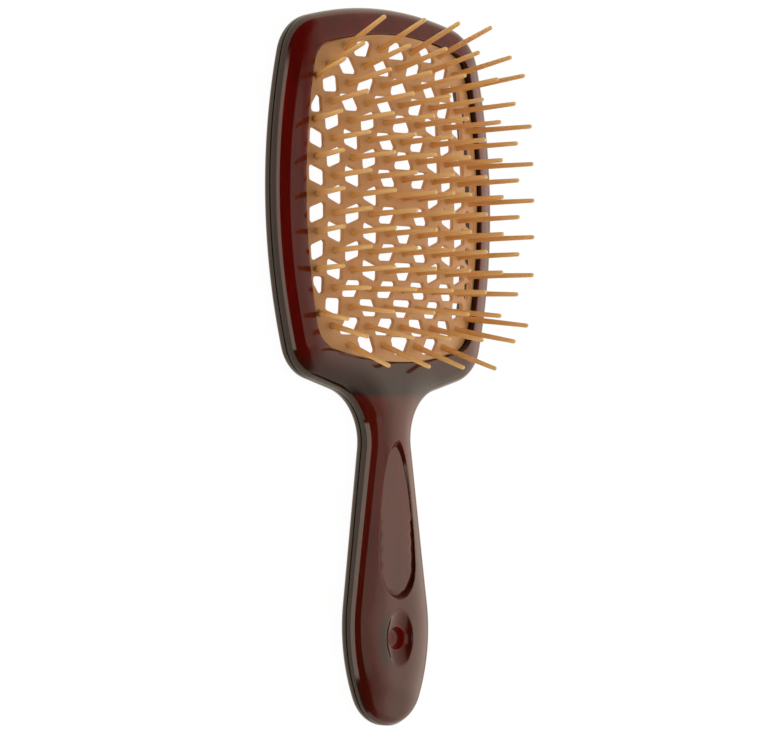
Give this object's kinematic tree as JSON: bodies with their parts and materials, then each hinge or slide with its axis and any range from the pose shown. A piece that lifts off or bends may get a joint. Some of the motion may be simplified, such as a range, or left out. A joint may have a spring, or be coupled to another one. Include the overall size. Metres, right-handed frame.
{
  "type": "detangling hair brush",
  "caption": "Open-backed detangling hair brush: a flat ring and handle moulded in two halves, holding a domed, open net pad with long splayed pins.",
  "frame": {"origin": "middle of the brush's footprint, on the plane that its back lies on", "axes": "+Z the way the pins point, +Y along the brush from handle to head, +X to the right seen from the front with the head up"},
  "size_m": [0.0876, 0.21, 0.0346],
  "materials": {
    "shell_plastic": "glossy, slightly translucent red-brown moulded plastic",
    "pad_plastic": "satin, flexible tan moulded plastic"
  },
  "bodies": {
    "handle_frame": {"front_shell": "shell_plastic", "back_shell": "shell_plastic"},
    "pad": {"pin_pad": "pad_plastic"}
  },
  "joints": [
    {"name": "pad_give", "type": "slide", "parent": "handle_frame", "child": "pad", "axis": [0, 0, -1], "range_m": [0, 0.0015], "stiffness_N_per_m": 4000}
  ]
}
